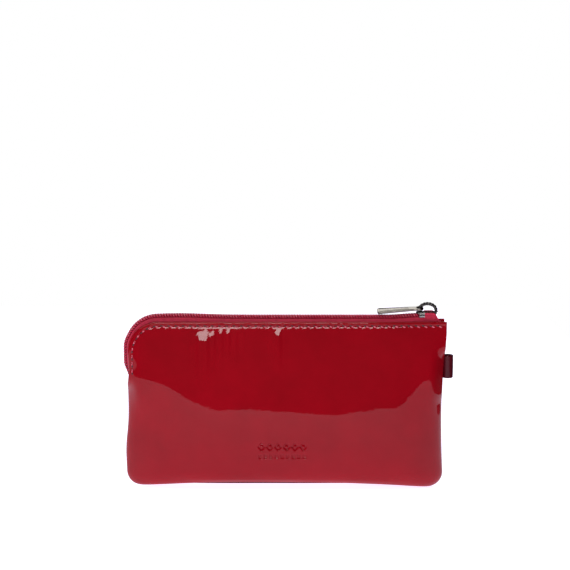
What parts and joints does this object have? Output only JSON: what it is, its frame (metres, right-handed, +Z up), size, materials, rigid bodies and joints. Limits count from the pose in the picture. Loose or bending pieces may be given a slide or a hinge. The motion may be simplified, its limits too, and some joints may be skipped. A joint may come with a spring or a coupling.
{
  "type": "zip around wallet",
  "caption": "Slim zip pouch wallet in patent leather: two lined faces, a coil zip along the top and down one corner, a slider with an arched bail and tab, and a side strap loop.",
  "frame": {"origin": "centre of the flat base that the pouch stands on, midway between the side seams", "axes": "+X to the right along the length with the front face seen from -Y, +Y to the back, +Z up"},
  "size_m": [0.1624, 0.023, 0.0938],
  "materials": {
    "patent_leather": "high gloss patent",
    "strap_leather": "gloss patent",
    "lining_cloth": "woven satin",
    "zip_tape": "woven herringbone",
    "zip_coil": "satin nylon",
    "thread": "twisted thread",
    "slider_metal": "polished nickel",
    "bail_metal": "polished gunmetal",
    "tab_metal": "polished gunmetal nickel"
  },
  "bodies": {
    "pouch": {"front_panel": "patent_leather", "back_panel": "patent_leather", "front_lining": "lining_cloth", "back_lining": "lining_cloth", "slip_pocket": "lining_cloth", "wrist_loop": "strap_leather", "top_stop_front": "slider_metal", "top_stop_back": "slider_metal", "bottom_stop": "zip_coil"},
    "front_mouth": {"front_flap": "patent_leather", "front_flap_lining": "lining_cloth", "zip_tape_front": "zip_tape", "zip_coil_front": "zip_coil", "front_stitching": "thread"},
    "back_mouth": {"back_flap": "patent_leather", "back_flap_lining": "lining_cloth", "zip_tape_back": "zip_tape", "zip_coil_back": "zip_coil", "back_stitching": "thread"},
    "slider": {"slider_body": "slider_metal", "slider_bail": "bail_metal"},
    "tab": {"pull_tab": "tab_metal"}
  },
  "joints": [
    {"name": "front_mouth_fold", "type": "hinge", "parent": "pouch", "child": "front_mouth", "pos_m": [-0.0075, -0.006, 0.0723], "axis": [0.9806, 0, 0.1961], "range_deg": [0, 32], "deforming": ["zip_tape_front", "zip_coil_front", "front_stitching"]},
    {"name": "back_mouth_fold", "type": "hinge", "parent": "pouch", "child": "back_mouth", "pos_m": [-0.0075, 0.006, 0.0723], "axis": [0.9806, 0, 0.1961], "range_deg": [-32, 0], "deforming": ["zip_tape_back", "zip_coil_back", "back_stitching"]},
    {"name": "slider_travel", "type": "slide", "parent": "pouch", "child": "slider", "axis": [-1, 0, 0], "range_m": [0, 0.125]},
    {"name": "tab_flip", "type": "hinge", "parent": "slider", "child": "tab", "pos_m": [0.0699, 0, 0.0889], "axis": [0, 1, 0], "range_deg": [0, 140]}
  ],
  "couplings": [
    {"joint": "back_mouth_fold", "follows": "front_mouth_fold", "ratio": -1}
  ]
}
